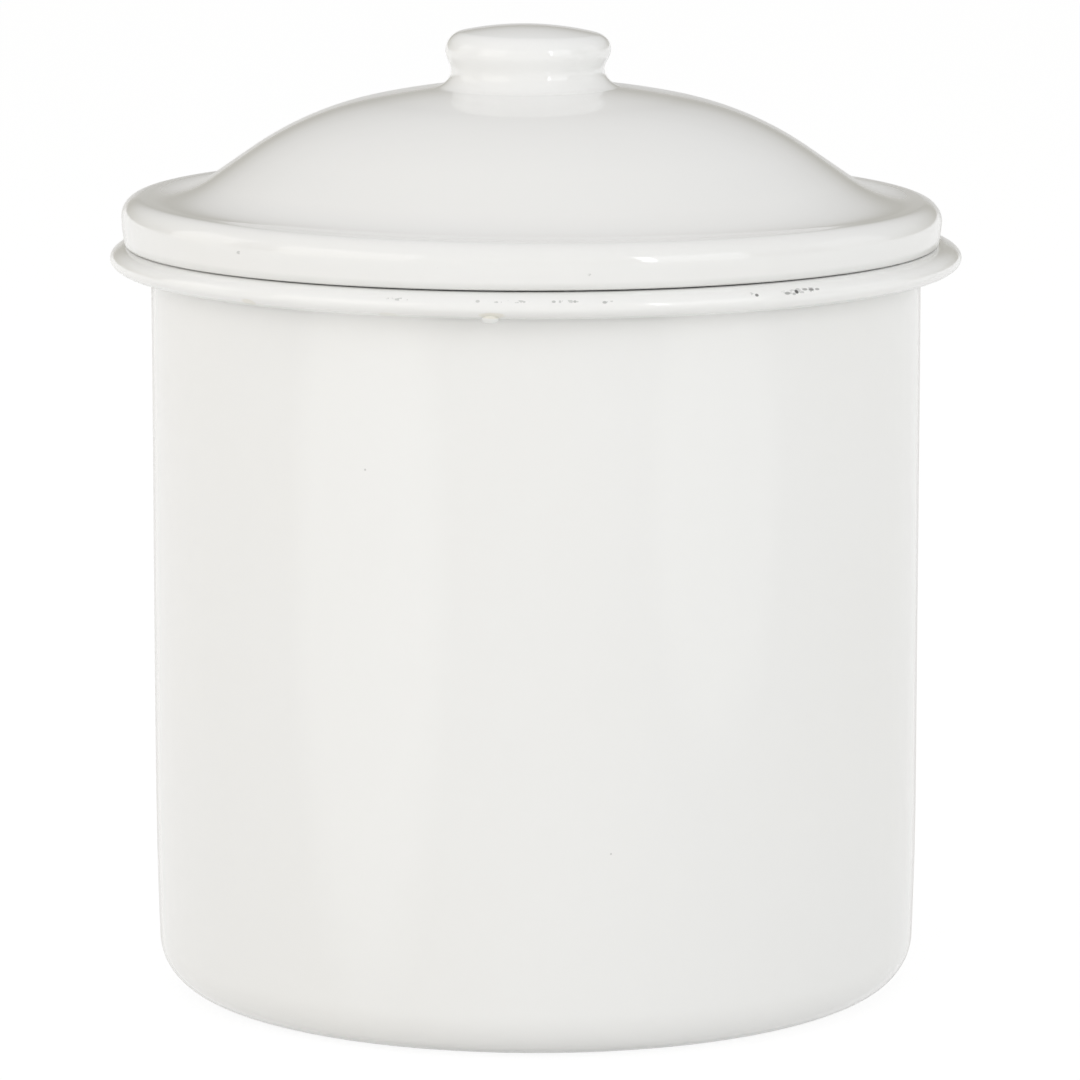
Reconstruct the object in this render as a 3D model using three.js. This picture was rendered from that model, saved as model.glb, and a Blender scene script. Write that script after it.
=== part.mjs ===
// Enamelled steel storage jar with a loose domed lid.
// Millimetres, +Z up. The origin is the centre of the base, on the surface that the jar stands on.
// Every piece is a round pressing, so each one is an outline turned about the vertical axis.

import { Group, LatheGeometry, MathUtils, Mesh, MeshStandardMaterial, Vector2 } from 'three';

// Sheet and fits
const SHEET_THICKNESS = 1.2; // steel sheet with the enamel on both of its faces
const SEAT_CLEARANCE = 0.3; // left between two pieces where one rests on the other

// Jar body
const JAR_RADIUS = 90; // outside of the straight wall
const JAR_HEIGHT = 175.4; // from the table to the top of the rolled rim
const BASE_CORNER_RADIUS = 11.4; // outside radius between wall and base
const BASE_DRAW_IN = 0.65; // the wall narrows by this much towards the base corner
const BASE_DRAW_HEIGHT = 50; // height above the table at which the narrowing starts
const STAND_RING_WIDTH = 16; // flat ring on which the jar stands
const BASE_PANEL_RISE = 1.5; // the middle of the base is pressed up by this much
const BASE_STEP_WIDTH = 4; // sloping step between the stand ring and the raised panel
const ROLL_HEIGHT = 6; // height of the rolled rim
const ROLL_REACH = 9.5; // how far the rolled rim stands out from the wall
const ROLL_EDGE_GAP = 0.5; // slit between the end of the roll and the wall

// Lid
const LID_INSET = 3.7; // the lid's rim stands back from the edge of the rolled rim by this much
const RIM_HEIGHT = 10.6; // upright rim, from its foot to the flat land on top
const RIM_SHOULDER_RADIUS = 5.2; // outside radius on top of the rim
const RIM_FOOT_RADIUS = 2.2; // outside radius where the edge turns in
const RIM_EDGE_WIDTH = 3; // flat part of the turned-in edge
const RIM_LAND_WIDTH = 1.9; // flat land between the rim's shoulder and the valley
const VALLEY_RADIUS = 26; // hollow bend between the land and the flank
const FLANK_LENGTH = 10.9; // straight part of the dome's side
const FLANK_ANGLE = MathUtils.degToRad(34.7); // slope of the flank
const DOME_BEND_RADIUS = 77.5; // bend between flank and crown
const CROWN_RADIUS = 181; // nearly flat middle of the dome
const VENT_RADIUS = 2; // hole under the knob that lets air out when the enamel is fired

// Locating collar under the lid
const MOUTH_PLAY = 2; // all round between the collar and the mouth of the jar
const LID_SHIFT_SHARE = 0.5; // the lid lies loose, pushed towards -X by this share of the play
const COLLAR_DROP = 8; // how far the collar hangs below the top of the rolled rim
const COLLAR_BEND_RADIUS = 1; // inside radius between the collar's wall and its weld flange
const COLLAR_LEAD_HEIGHT = 3; // tapered foot that guides the lid into the mouth
const COLLAR_LEAD_INSET = 1.2; // how far that foot leans inwards

// Knob
const KNOB_RADIUS = 19.3; // widest part of the head
const KNOB_HEIGHT = 13.6; // from the top of the lid's crown to the top of the knob
const KNOB_CROWN_RADIUS = 72; // slight dome on top
const KNOB_SHOULDER_RADIUS = 4.3; // rounded edge of the head
const KNOB_NECK_INSET = 1.4; // the neck is narrower than the head by this much all round
const KNOB_FLARE_WIDTH = 5.2; // how far the foot spreads from the neck
const KNOB_FLARE_HEIGHT = 3.7; // height of the flared foot
const KNOB_FOOT_EDGE = 0.4; // height of the foot's thin outer edge

// Fineness: facets round a piece, and straight pieces in each bend of an outline
const BODY_FACETS = 56;
const KNOB_FACETS = 32;
const BASE_CORNER_PIECES = 5;
const BASE_DRAW_PIECES = 3;
const ROLL_TOP_PIECES = 8;
const ROLL_UNDER_PIECES = 5;
const DOME_BEND_PIECES = 4;
const SHOULDER_PIECES = 5;
const KNOB_BEND_PIECES = 5;
const SMALL_BEND_PIECES = 3;

// Directions of travel round a bend, as angles in the outline's plane
const OUTWARDS = 0;
const UPWARDS = Math.PI / 2;
const INWARDS = Math.PI;
const DOWNWARDS = -Math.PI / 2;

// Radii and heights that several pieces share
const mouthRadius = JAR_RADIUS - SHEET_THICKNESS;
const lidRadius = JAR_RADIUS + ROLL_REACH - LID_INSET;
const rimFootHeight = JAR_HEIGHT + SEAT_CLEARANCE;
const landHeight = rimFootHeight + RIM_HEIGHT;
const landOuterRadius = lidRadius - RIM_SHOULDER_RADIUS;
const landInnerRadius = landOuterRadius - RIM_LAND_WIDTH;
const flankFootRadius = landInnerRadius - VALLEY_RADIUS * Math.sin(FLANK_ANGLE);
const flankFootHeight = landHeight + VALLEY_RADIUS * (1 - Math.cos(FLANK_ANGLE));

// The dome's bend leaves the flank and runs into the crown where both have the same slope.
const bendCentre = new Vector2(
  flankFootRadius - FLANK_LENGTH * Math.cos(FLANK_ANGLE) - DOME_BEND_RADIUS * Math.sin(FLANK_ANGLE),
  flankFootHeight + FLANK_LENGTH * Math.sin(FLANK_ANGLE) - DOME_BEND_RADIUS * Math.cos(FLANK_ANGLE),
);
const crownEdgeAngle = Math.acos(bendCentre.x / (CROWN_RADIUS - DOME_BEND_RADIUS));
const crownCentre = new Vector2(
  0, bendCentre.y - (CROWN_RADIUS - DOME_BEND_RADIUS) * Math.sin(crownEdgeAngle),
);

// Points on an arc of an ellipse, x outwards and y up, the angle growing from outwards to upwards.
function arc(centre, radiusOut, radiusUp, fromAngle, toAngle, pieces) {
  const points = [];
  for (let i = 0; i <= pieces; i += 1) {
    const angle = MathUtils.lerp(fromAngle, toAngle, i / pieces);
    points.push(new Vector2(centre.x + radiusOut * Math.cos(angle), centre.y + radiusUp * Math.sin(angle)));
  }
  return points;
}

// Drops each point that repeats the one before it, so that bends can be strung together.
function withoutRepeats(points) {
  const nearest = SHEET_THICKNESS / 1000;
  return points.filter((point, i) => i === 0 || point.distanceTo(points[i - 1]) > nearest);
}

// Outline of a pressed sheet. The face function draws the sheet's path at a depth below its first face:
// out along the face at depth 0, and back along the other face.
function sheetOutline(face) {
  return withoutRepeats([...face(0), ...face(SHEET_THICKNESS).reverse()]);
}

// Turns an outline about the vertical axis. An outline that stays off the axis is closed on itself.
function turned(outline, facets) {
  const reachesAxis = outline[0].x === 0;
  const loop = reachesAxis ? [...outline] : [...outline, outline[0].clone()];
  return new LatheGeometry(loop.reverse(), facets).rotateX(Math.PI / 2);
}

// Jar wall at a depth below its inside face: from the middle of the floor, up the wall, then over the top
// and under again as the rolled rim.
function jarFace(depth) {
  const wallRadius = mouthRadius + depth;
  const cornerRadius = BASE_CORNER_RADIUS - SHEET_THICKNESS + depth;
  const floorHeight = SHEET_THICKNESS - depth;
  const cornerCentre = new Vector2(JAR_RADIUS - BASE_DRAW_IN - BASE_CORNER_RADIUS, BASE_CORNER_RADIUS);
  const ringInnerRadius = cornerCentre.x - STAND_RING_WIDTH;
  const floor = [
    new Vector2(0, floorHeight + BASE_PANEL_RISE),
    new Vector2(ringInnerRadius - BASE_STEP_WIDTH, floorHeight + BASE_PANEL_RISE),
    new Vector2(ringInnerRadius, floorHeight),
  ];
  const corner = arc(cornerCentre, cornerRadius, cornerRadius, DOWNWARDS, OUTWARDS, BASE_CORNER_PIECES);

  const wall = [];
  for (let i = 1; i <= BASE_DRAW_PIECES; i += 1) {
    const share = i / BASE_DRAW_PIECES;
    const height = MathUtils.lerp(BASE_CORNER_RADIUS, BASE_DRAW_HEIGHT, share);
    wall.push(new Vector2(wallRadius - BASE_DRAW_IN * (1 - share) ** 2, height));
  }

  // The roll is an ellipse that starts as the wall and ends just short of it.
  const fullRadiusOut = (ROLL_REACH + SHEET_THICKNESS) / 2;
  const rollOut = fullRadiusOut - depth;
  const rollUp = ROLL_HEIGHT / 2 - depth;
  const rollCentre = new Vector2(mouthRadius + fullRadiusOut, JAR_HEIGHT - ROLL_HEIGHT / 2);
  const rollEnd = -Math.acos((JAR_RADIUS + ROLL_EDGE_GAP - rollCentre.x) / fullRadiusOut);
  const rollTop = arc(rollCentre, rollOut, rollUp, INWARDS, OUTWARDS, ROLL_TOP_PIECES);
  const rollUnder = arc(rollCentre, rollOut, rollUp, OUTWARDS, rollEnd, ROLL_UNDER_PIECES);
  return [...floor, ...corner, ...wall, ...rollTop, ...rollUnder];
}

// Lid wall at a depth below its upper face: from the vent hole over the dome, through the valley, over the
// shoulder and down the rim to the turned-in edge.
function lidFace(depth) {
  const crownRadius = CROWN_RADIUS - depth;
  const ventAngle = Math.acos(VENT_RADIUS / crownRadius);
  const crown = arc(crownCentre, crownRadius, crownRadius, ventAngle, crownEdgeAngle, SMALL_BEND_PIECES);

  const bendRadius = DOME_BEND_RADIUS - depth;
  const flankAngle = UPWARDS - FLANK_ANGLE;
  const bend = arc(bendCentre, bendRadius, bendRadius, crownEdgeAngle, flankAngle, DOME_BEND_PIECES);

  const valleyRadius = VALLEY_RADIUS + depth;
  const valleyCentre = new Vector2(landInnerRadius, landHeight + VALLEY_RADIUS);
  const valleyAngle = DOWNWARDS - FLANK_ANGLE;
  const valley = arc(valleyCentre, valleyRadius, valleyRadius, valleyAngle, DOWNWARDS, DOME_BEND_PIECES);

  const shoulderRadius = RIM_SHOULDER_RADIUS - depth;
  const shoulderCentre = new Vector2(landOuterRadius, landHeight - RIM_SHOULDER_RADIUS);
  const shoulder = arc(shoulderCentre, shoulderRadius, shoulderRadius, UPWARDS, OUTWARDS, SHOULDER_PIECES);

  const footRadius = RIM_FOOT_RADIUS - depth;
  const footCentre = new Vector2(lidRadius - RIM_FOOT_RADIUS, rimFootHeight + RIM_FOOT_RADIUS);
  const foot = arc(footCentre, footRadius, footRadius, OUTWARDS, DOWNWARDS, SMALL_BEND_PIECES);
  const edge = new Vector2(footCentre.x - RIM_EDGE_WIDTH, rimFootHeight + depth);
  return [...crown, ...bend, ...valley, ...shoulder, ...foot, edge];
}

// Collar wall at a depth below its inner face: from the tapered foot up the wall, then out as the flange
// that is welded under the lid's land.
function collarFace(depth) {
  const outerRadius = mouthRadius - MOUTH_PLAY;
  const wallRadius = outerRadius - SHEET_THICKNESS + depth;
  const footHeight = JAR_HEIGHT - COLLAR_DROP;
  const weldHeight = landHeight - SHEET_THICKNESS - SEAT_CLEARANCE;
  const bendRadius = COLLAR_BEND_RADIUS + SHEET_THICKNESS - depth;
  const collarBendCentre = new Vector2(
    outerRadius + COLLAR_BEND_RADIUS, weldHeight - SHEET_THICKNESS - COLLAR_BEND_RADIUS,
  );
  return [
    new Vector2(wallRadius - COLLAR_LEAD_INSET, footHeight),
    new Vector2(wallRadius, footHeight + COLLAR_LEAD_HEIGHT),
    ...arc(collarBendCentre, bendRadius, bendRadius, INWARDS, UPWARDS, SMALL_BEND_PIECES),
    new Vector2(landOuterRadius, weldHeight - depth),
  ];
}

// Height of the knob's seat at a radius, just clear of the lid's crown.
function knobSeatHeight(radius) {
  return crownCentre.y + Math.sqrt(CROWN_RADIUS ** 2 - radius ** 2) + SEAT_CLEARANCE;
}

// Height of the top of the knob's flared foot.
function knobFlareTop() {
  const footRadius = KNOB_RADIUS - KNOB_NECK_INSET + KNOB_FLARE_WIDTH;
  return knobSeatHeight(footRadius) + KNOB_FOOT_EDGE + KNOB_FLARE_HEIGHT;
}

// Knob wall at a depth below its outer face: from the middle of the top over the shoulder, then down the
// narrowing neck to the top of the foot.
function knobFace(depth) {
  const topCentre = new Vector2(0, crownCentre.y + CROWN_RADIUS + KNOB_HEIGHT - KNOB_CROWN_RADIUS);
  const shoulderOut = KNOB_RADIUS - KNOB_SHOULDER_RADIUS;
  const shoulderReach = KNOB_CROWN_RADIUS - KNOB_SHOULDER_RADIUS;
  const topEdgeAngle = Math.acos(shoulderOut / shoulderReach);
  const shoulderCentre = new Vector2(shoulderOut, topCentre.y + shoulderReach * Math.sin(topEdgeAngle));

  const topRadius = KNOB_CROWN_RADIUS - depth;
  const top = arc(topCentre, topRadius, topRadius, UPWARDS, topEdgeAngle, SMALL_BEND_PIECES);
  top[0].x = 0;
  const shoulderRadius = KNOB_SHOULDER_RADIUS - depth;
  const shoulder = arc(
    shoulderCentre, shoulderRadius, shoulderRadius, topEdgeAngle, OUTWARDS, KNOB_BEND_PIECES,
  );

  const neck = [];
  for (let i = 1; i <= KNOB_BEND_PIECES; i += 1) {
    const share = i / KNOB_BEND_PIECES;
    const inset = KNOB_NECK_INSET * (1 - Math.cos(Math.PI * share)) / 2;
    const height = MathUtils.lerp(shoulderCentre.y, knobFlareTop(), share);
    neck.push(new Vector2(KNOB_RADIUS - depth - inset, height));
  }
  return [...top, ...shoulder, ...neck];
}

// The whole knob: the outer face, the foot that flares out on the lid, the seat, and the inner face.
function knobOutline() {
  const neckRadius = KNOB_RADIUS - KNOB_NECK_INSET;
  const flareCentre = new Vector2(neckRadius + KNOB_FLARE_WIDTH, knobFlareTop());
  const flare = arc(
    flareCentre, KNOB_FLARE_WIDTH, KNOB_FLARE_HEIGHT, INWARDS, INWARDS + UPWARDS, KNOB_BEND_PIECES,
  );
  const seat = [];
  for (let i = 0; i <= SMALL_BEND_PIECES; i += 1) {
    const radius = MathUtils.lerp(flareCentre.x, neckRadius - SHEET_THICKNESS, i / SMALL_BEND_PIECES);
    seat.push(new Vector2(radius, knobSeatHeight(radius)));
  }
  return withoutRepeats([...knobFace(0), ...flare, ...seat, ...knobFace(SHEET_THICKNESS).reverse()]);
}

// White vitreous enamel, a glassy coat that hides the metal under it.
function enamel(colour, roughness) {
  return new MeshStandardMaterial({ color: colour, roughness, metalness: 0 });
}

function piece(name, geometry, material) {
  const mesh = new Mesh(geometry, material);
  mesh.name = name;
  return mesh;
}

function jarBody() {
  return piece('jar_body', turned(sheetOutline(jarFace), BODY_FACETS), enamel(0xeeede9, 0.16));
}

function lidShell() {
  return piece('lid', turned(sheetOutline(lidFace), BODY_FACETS), enamel(0xecebe7, 0.16));
}

function lidCollar() {
  return piece('lid_collar', turned(sheetOutline(collarFace), BODY_FACETS), enamel(0xe9e7e1, 0.2));
}

function lidKnob() {
  return piece('knob', turned(knobOutline(), KNOB_FACETS), enamel(0xeeedea, 0.14));
}

// The lid, its collar and its knob are one assembly, which lifts straight off the jar.
function lidAssembly() {
  const assembly = new Group();
  assembly.add(lidShell(), lidCollar(), lidKnob());
  assembly.position.x = -MOUTH_PLAY * LID_SHIFT_SHARE;
  return assembly;
}

const liddedJar = new Group();
liddedJar.add(jarBody(), lidAssembly());

export default liddedJar;
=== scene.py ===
"""White enamelled storage jar with a loose domed lid, dressed for a plain studio picture.

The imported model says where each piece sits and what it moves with. Each pressing is turned here again as
a fine, slightly uneven shell of the same profile, and gets its coat of fired glass enamel.

Lengths are in metres, +Z is up, the jar stands on the origin, and the camera looks along +Y.
"""

import logging
import math
from dataclasses import dataclass, field
from enum import Enum
from typing import Any

import bmesh
import bpy
from mathutils import Matrix, Vector, noise


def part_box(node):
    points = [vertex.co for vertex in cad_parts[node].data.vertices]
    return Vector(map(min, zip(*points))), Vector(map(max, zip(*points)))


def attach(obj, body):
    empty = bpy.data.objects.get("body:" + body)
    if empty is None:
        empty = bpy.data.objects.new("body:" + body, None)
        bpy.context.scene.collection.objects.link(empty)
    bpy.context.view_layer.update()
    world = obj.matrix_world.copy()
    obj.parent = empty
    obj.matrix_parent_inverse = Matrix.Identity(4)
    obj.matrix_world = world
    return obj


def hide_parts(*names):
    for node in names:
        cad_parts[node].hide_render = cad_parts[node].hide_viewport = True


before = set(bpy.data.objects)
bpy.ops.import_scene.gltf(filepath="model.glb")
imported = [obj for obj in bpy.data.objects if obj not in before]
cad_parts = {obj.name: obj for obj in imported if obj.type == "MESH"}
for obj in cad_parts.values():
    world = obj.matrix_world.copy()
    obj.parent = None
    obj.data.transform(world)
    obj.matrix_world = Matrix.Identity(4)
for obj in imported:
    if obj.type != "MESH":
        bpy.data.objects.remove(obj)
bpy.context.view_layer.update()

LOG = logging.getLogger("enamel_jar")

MM = 0.001
QUARTER = math.pi / 2
WELD = 0.004 * MM  # points nearer than this are one point

# Directions from the centre of a bend, as angles in the plane of an outline
OUTWARDS = 0.0
UPWARDS = QUARTER
INWARDS = math.pi
DOWNWARDS = -QUARTER

AXIS_GAP = 0.02  # angle from the axis to the first point of the knob's top, after its middle

# Numbers of straight pieces that stand for the curves of the outlines
STEP_PIECES = 4
SEAM_PIECES = 6
FLANGE_PIECES = 6
SHORT_PIECES = 8
TOP_PIECES = 10
CROWN_PIECES = 12
NECK_PIECES = 12
BEND_PIECES = 14
CORNER_PIECES = 16
DOME_PIECES = 18
ROLL_PIECES = 44

Colour = tuple[float, float, float]
WHITE: Colour = (1.0, 1.0, 1.0)


class Body(Enum):
    """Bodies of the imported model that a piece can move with."""

    JAR = "jar"
    LID = "lid"


class Slot(Enum):
    """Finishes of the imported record."""

    JAR = "jar_enamel"
    LID = "lid_enamel"
    KNOB = "knob_enamel"


# Outlines and turned meshes


@dataclass
class Outline:
    """Half section of a turned piece, as points of radius and height.

    Attributes:
        points: the points in order, each a 2D vector.
    """

    points: list[Vector] = field(default_factory=list)

    def to(self, radius: float, height: float) -> "Outline":
        """Runs straight to a point."""
        self.points.append(Vector((radius, height)))
        return self

    def arc(
        self, centre: Vector, out: float, up: float, start: float, end: float, pieces: int
    ) -> "Outline":
        """Follows an arc of an ellipse.

        Args:
            centre: centre of the ellipse.
            out: half axis in the direction of the radius.
            up: half axis in the direction of the height.
            start: angle at which the arc starts, from outwards towards upwards.
            end: angle at which it ends.
            pieces: number of straight pieces.

        Returns:
            The outline itself.
        """
        for i in range(pieces + 1):
            angle = start + (end - start) * i / pieces
            self.to(centre.x + out * math.cos(angle), centre.y + up * math.sin(angle))
        return self

    def fillet(self, corner: Vector, end: Vector, pieces: int) -> "Outline":
        """Rounds a corner off, from the last point to another.

        Args:
            corner: the sharp corner that the curve stays short of.
            end: where the curve ends.
            pieces: number of straight pieces.

        Returns:
            The outline itself.
        """
        start = self.points[-1].copy()
        for i in range(1, pieces + 1):
            share = i / pieces
            point = start * (1 - share) ** 2 + corner * 2 * share * (1 - share) + end * share**2
            self.to(point.x, point.y)
        return self

    def back(self, other: "Outline") -> "Outline":
        """Returns along another outline, from its end to its start."""
        self.points.extend(reversed(other.points))
        return self

    def _distinct(self) -> list[Vector]:
        """The points, without those that repeat the one before."""
        kept = self.points[:1]
        for point in self.points[1:]:
            if (point - kept[-1]).length > WELD:
                kept.append(point)
        return kept

    def turned(self, steps: int) -> bmesh.types.BMesh:
        """Turns the outline about the vertical axis.

        Args:
            steps: number of faces round the piece.

        Returns:
            A closed mesh whose faces point outwards.
        """
        bm = bmesh.new()
        line = [bm.verts.new((point.x, 0, point.y)) for point in self._distinct()]
        pairs = list(zip(line, line[1:]))
        starts_on_axis = self.points[0].x < WELD
        if not starts_on_axis:
            pairs.append((line[-1], line[0]))
        edges = [bm.edges.new(pair) for pair in pairs]
        bmesh.ops.spin(
            bm, geom=line + edges, cent=(0, 0, 0), axis=(0, 0, 1), dvec=(0, 0, 0),
            angle=math.tau, space=Matrix.Identity(4), steps=steps, use_merge=True,
            use_normal_flip=False, use_duplicate=False,
        )
        bmesh.ops.remove_doubles(bm, verts=bm.verts, dist=WELD)
        bmesh.ops.recalc_face_normals(bm, faces=bm.faces)
        return bm


def smooth_share(value: float, low: float, high: float) -> float:
    """Share of the way from low to high, held at 0 and 1 and eased at both ends."""
    share = min(max((value - low) / (high - low), 0), 1)
    return share * share * (3 - 2 * share)


def as_object(bm: bmesh.types.BMesh, name: str) -> bpy.types.Object:
    """Makes a smooth-shaded object of a mesh, and frees the mesh.

    Args:
        bm: the finished mesh, in place.
        name: name of the object.

    Returns:
        The object, linked to the scene.
    """
    mesh = bpy.data.meshes.new(name)
    bm.to_mesh(mesh)
    bm.free()
    mesh.shade_smooth()
    obj = bpy.data.objects.new(name, mesh)
    bpy.context.scene.collection.objects.link(obj)
    return obj


# Shader maths


class Value:
    """Socket of a shader tree that can be used in sums."""

    def __init__(self, graph: "Graph", socket: bpy.types.NodeSocket) -> None:
        """Wraps a socket of a tree."""
        self.graph = graph
        self.socket = socket

    def __add__(self, other: "Number") -> "Value":
        """Sum of two values."""
        return self.graph.math("ADD", self, other)

    def __radd__(self, other: float) -> "Value":
        """Sum with a number on the left."""
        return self.graph.math("ADD", other, self)

    def __sub__(self, other: "Number") -> "Value":
        """Difference of two values."""
        return self.graph.math("SUBTRACT", self, other)

    def __rsub__(self, other: float) -> "Value":
        """Difference from a number."""
        return self.graph.math("SUBTRACT", other, self)

    def __mul__(self, other: "Number") -> "Value":
        """Product of two values."""
        return self.graph.math("MULTIPLY", self, other)

    def __truediv__(self, other: "Number") -> "Value":
        """Quotient of two values."""
        return self.graph.math("DIVIDE", self, other)


Number = Value | float

# Sockets of a Mix node that mixes colours
MIX_FACTOR, MIX_A, MIX_B, MIX_RESULT = 0, 6, 7, 2


class Graph:
    """Node tree of a material or of the world, built by code."""

    def __init__(self, tree: bpy.types.NodeTree) -> None:
        """Starts with an empty tree."""
        tree.nodes.clear()
        self.tree = tree

    def node(self, kind: str, settings: dict[str, Any], inputs: dict[Any, Any]) -> bpy.types.Node:
        """Adds a node.

        Args:
            kind: the node's type.
            settings: its own settings, set before the sockets. The stops of a ramp are given as
                "stops", a list of position and colour.
            inputs: a Value, number or colour for each socket, by name or by place.

        Returns:
            The node.
        """
        made = self.tree.nodes.new(kind)
        for name, setting in settings.items():
            if name == "stops":
                self._set_stops(made.color_ramp, setting)
            else:
                setattr(made, name, setting)
        for key, given in inputs.items():
            if isinstance(given, Value):
                self.tree.links.new(given.socket, made.inputs[key])
            elif isinstance(given, tuple) and made.inputs[key].type == "RGBA":
                made.inputs[key].default_value = (*given, 1)
            else:
                made.inputs[key].default_value = given
        return made

    @staticmethod
    def _set_stops(ramp: bpy.types.ColorRamp, stops: list[tuple[float, Colour]]) -> None:
        """Gives a ramp its stops."""
        while len(ramp.elements) < len(stops):
            ramp.elements.new(1)
        for element, (position, colour) in zip(ramp.elements, stops):
            element.position = position
            element.color = (*colour, 1)

    def value(
        self, kind: str, output: str | int, settings: dict[str, Any], inputs: dict[Any, Any]
    ) -> Value:
        """Adds a node and gives one of its outputs."""
        return Value(self, self.node(kind, settings, inputs).outputs[output])

    def math(self, operation: str, *numbers: Number) -> Value:
        """Adds a Math node on one or more numbers."""
        return self.value("ShaderNodeMath", 0, {"operation": operation}, dict(enumerate(numbers)))

    def eased(self, value: Number, start: float, end: float) -> Value:
        """Eased step, 0 at start and before it, 1 at end and past it. Start may be the larger."""
        return self.value(
            "ShaderNodeMapRange", "Result", {"interpolation_type": "SMOOTHSTEP"},
            {"Value": value, "From Min": start, "From Max": end},
        )

    def mixed(self, factor: Number, first: Colour | Value, second: Colour | Value) -> Value:
        """Mixes two colours."""
        return self.value(
            "ShaderNodeMix", MIX_RESULT, {"data_type": "RGBA"},
            {MIX_FACTOR: factor, MIX_A: first, MIX_B: second},
        )

    def noise(self, place: Value, size: float, detail: float, shift: float = 0.0) -> Value:
        """Soft random pattern about 0.5.

        Args:
            place: position on the piece.
            size: width of one swelling.
            detail: how many finer octaves are added.
            shift: moves the pattern sideways, which gives another one.

        Returns:
            The pattern.
        """
        moved = self.value(
            "ShaderNodeVectorMath", 0, {"operation": "ADD"}, {0: place, 1: (shift, 0, 0)}
        )
        return self.value(
            "ShaderNodeTexNoise", "Fac", {}, {"Vector": moved, "Scale": 1 / size, "Detail": detail}
        )


# Finishes

GLASS_IOR = 1.5
PLAIN_FACING = 0.5  # blend that leaves the facing value as it is

# Widths of the random patterns in the coat
CLOUD_SIZE = 90 * MM
BLOTCH_SIZE = 9 * MM
SMEAR_SIZE = 24 * MM
RUB_SIZE = 1.1 * MM
PEEL_SIZE = 2.4 * MM
WAVE_SIZE = 34 * MM
PINHOLE_SPACING = 46 * MM

# Where a mark starts and where it is full, in the measure of its own pattern
PATCH_EDGES = (1.0, 0.3)
CLOUD_EDGES = (0.35, 0.75)
RUB_EDGES = (0.47, 0.57)
WORN_EDGES = (0.0, 0.25)
PINHOLE_EDGES = (0.008, 0.0055)
PINHOLE_PICK = (0.55, 0.6)
GRAZING_EDGES = (0.84, 0.97)
THIN_AND_SHADE_EDGES = (1.6 * MM, 0.3 * MM)

# How much of a mark shows, from 0 to 1
PINHOLE_DEPTH = 0.55
RUB_DEPTH = 0.3
THIN_AND_SHADE_LEAST = 0.25  # everywhere on such a ring, thinner coat and painted shade alike
THIN_AND_SHADE_BLOTCHES = 0.4  # and this much more where its blotches are strongest

RUB_FADE = 0.12  # how much less of the grain is rubbed through at the edge of a worn patch
SPECK_BLUR = 0.4  # how much rougher a speck is than the coat round it


@dataclass(frozen=True)
class Patch:
    """Oval area on a turned piece that takes a mark: wear, stain, pooled coat, painted light.

    Attributes:
        azimuth: middle of the patch round the piece, in degrees, 0 at the front and 90 on the right.
        half_angle: how far it reaches to each side, in degrees.
        height: height of its middle.
        half_height: how far it reaches up and down.
        amount: how much of the mark shows, from 0 to 1.
    """

    azimuth: float
    half_angle: float
    height: float
    half_height: float
    amount: float

    def mask(self, graph: Graph, azimuth: Value, height: Value) -> Value:
        """Mask of the patch, 0 outside of it.

        Args:
            graph: the material's nodes.
            azimuth: angle round the piece, in degrees.
            height: height on the piece.

        Returns:
            The amount in the middle, fading out towards the edge.
        """
        across = (azimuth - self.azimuth) / self.half_angle
        along = (height - self.height) / self.half_height
        return graph.eased(across * across + along * along, *PATCH_EDGES) * self.amount


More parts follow.
